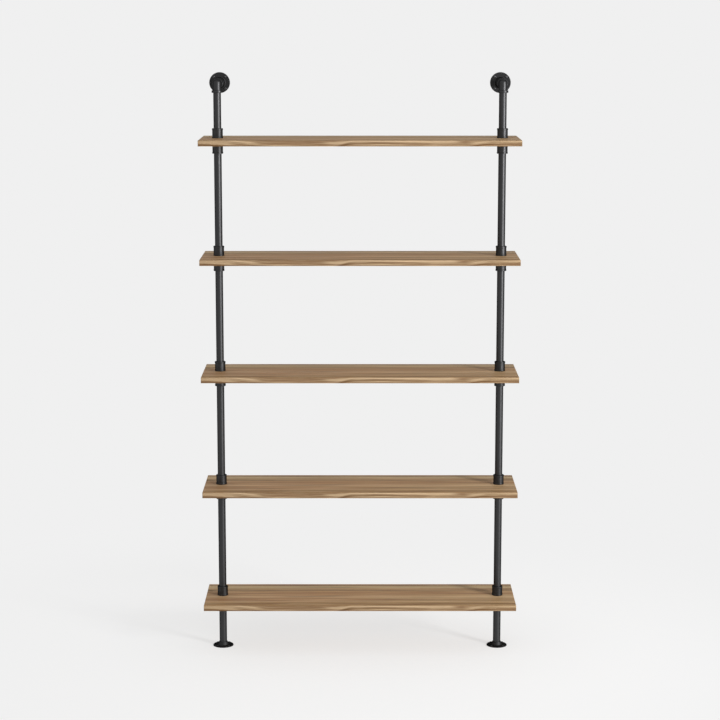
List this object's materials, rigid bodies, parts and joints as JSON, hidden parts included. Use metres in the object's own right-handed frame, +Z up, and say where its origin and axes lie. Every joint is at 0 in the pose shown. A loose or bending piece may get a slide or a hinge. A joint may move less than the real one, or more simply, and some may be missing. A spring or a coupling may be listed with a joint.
{
  "type": "pipe shelving unit",
  "caption": "Tall open shelving unit: wooden shelves clamped between pipe couplings on two iron-pipe columns with floor flanges, and elbows back to wall flanges.",
  "frame": {"origin": "on the floor, midway between the two columns and on the plane of their axes, which is mid-depth of the shelves", "axes": "+X to the right, +Y towards the wall, +Z up"},
  "size_m": [1.2192, 0.3048, 2.2602],
  "materials": {
    "shelf_wood": "satin oiled walnut-brown grain",
    "black_pipe": "black powder coat, satin",
    "black_fitting": "black coated malleable iron, satin"
  },
  "bodies": {
    "root": {"left_elbow": "black_fitting", "left_floor_flange": "black_fitting", "left_floor_pipe": "black_pipe", "left_lower_coupling_1": "black_fitting", "left_lower_coupling_2": "black_fitting", "left_lower_coupling_3": "black_fitting", "left_lower_coupling_4": "black_fitting", "left_lower_coupling_5": "black_fitting", "left_shelf_nipple_1": "black_pipe", "left_shelf_nipple_2": "black_pipe", "left_shelf_nipple_3": "black_pipe", "left_shelf_nipple_4": "black_pipe", "left_shelf_nipple_5": "black_pipe", "left_top_pipe": "black_pipe", "left_upper_coupling_1": "black_fitting", "left_upper_coupling_2": "black_fitting", "left_upper_coupling_3": "black_fitting", "left_upper_coupling_4": "black_fitting", "left_upper_coupling_5": "black_fitting", "left_upright_pipe_1": "black_pipe", "left_upright_pipe_2": "black_pipe", "left_upright_pipe_3": "black_pipe", "left_upright_pipe_4": "black_pipe", "left_wall_flange": "black_fitting", "left_wall_nipple": "black_pipe", "right_elbow": "black_fitting", "right_floor_flange": "black_fitting", "right_floor_pipe": "black_pipe", "right_lower_coupling_1": "black_fitting", "right_lower_coupling_2": "black_fitting", "right_lower_coupling_3": "black_fitting", "right_lower_coupling_4": "black_fitting", "right_lower_coupling_5": "black_fitting", "right_shelf_nipple_1": "black_pipe", "right_shelf_nipple_2": "black_pipe", "right_shelf_nipple_3": "black_pipe", "right_shelf_nipple_4": "black_pipe", "right_shelf_nipple_5": "black_pipe", "right_top_pipe": "black_pipe", "right_upper_coupling_1": "black_fitting", "right_upper_coupling_2": "black_fitting", "right_upper_coupling_3": "black_fitting", "right_upper_coupling_4": "black_fitting", "right_upper_coupling_5": "black_fitting", "right_upright_pipe_1": "black_pipe", "right_upright_pipe_2": "black_pipe", "right_upright_pipe_3": "black_pipe", "right_upright_pipe_4": "black_pipe", "right_wall_flange": "black_fitting", "right_wall_nipple": "black_pipe", "shelf_1": "shelf_wood", "shelf_2": "shelf_wood", "shelf_3": "shelf_wood", "shelf_4": "shelf_wood", "shelf_5": "shelf_wood"}
  },
  "joints": []
}
